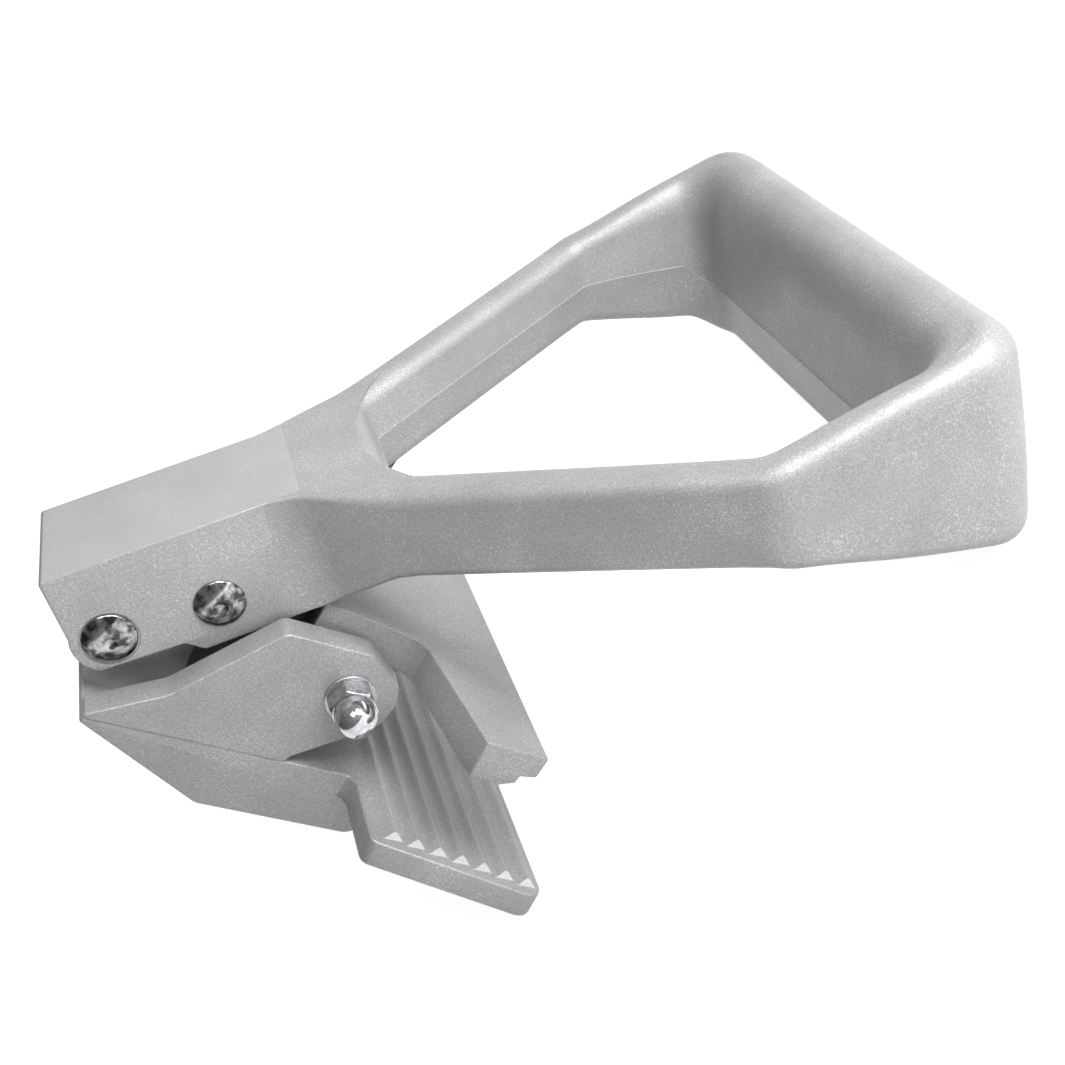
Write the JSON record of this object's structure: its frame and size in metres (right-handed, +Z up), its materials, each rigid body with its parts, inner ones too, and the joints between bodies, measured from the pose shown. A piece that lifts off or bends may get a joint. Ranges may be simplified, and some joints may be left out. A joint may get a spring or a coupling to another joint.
{
  "type": "panel carrier",
  "caption": "One-hand panel carrier: a forked grip on a pinned neck that lifts to close a wide clamp bar on a serrated lower jaw.",
  "frame": {"origin": "centre of the tool's footprint, on the surface that it stands on with jaw tip and grip", "axes": "+X from the jaws to the grip, +Y across the tool, away from the cap nut, +Z up"},
  "size_m": [0.1993, 0.1456, 0.1258],
  "materials": {
    "handle_casting": "shot-blasted casting, clear coated",
    "jaw_casting": "shot-blasted casting, clear coated",
    "polished_steel": "polished, zinc plated",
    "plain_steel": "turned",
    "bush_bronze": "turned"
  },
  "bodies": {
    "lower": {"lower_jaw": "jaw_casting", "lug_bush_near": "bush_bronze", "lug_bush_far": "bush_bronze", "pivot_bolt": "polished_steel", "pivot_sleeve": "plain_steel", "washer_near": "plain_steel", "washer_far": "plain_steel", "cap_nut": "polished_steel"},
    "handle": {"handle_frame": "handle_casting", "front_rivet": "polished_steel", "rear_rivet": "polished_steel", "cam_sleeve": "plain_steel", "spacer_near": "plain_steel", "spacer_far": "plain_steel"},
    "upper": {"upper_jaw": "jaw_casting"}
  },
  "joints": [
    {"name": "handle_lift", "type": "hinge", "parent": "lower", "child": "handle", "pos_m": [-0.07984, 0, 0.10601], "axis": [0, -1, 0], "range_deg": [0, 17.5]},
    {"name": "jaw_close", "type": "hinge", "parent": "lower", "child": "upper", "pos_m": [-0.05565, 0, 0.05839], "axis": [0, 1, 0], "range_deg": [0, 35]}
  ],
  "couplings": [
    {"joint": "jaw_close", "follows": "handle_lift", "ratio": 2}
  ]
}
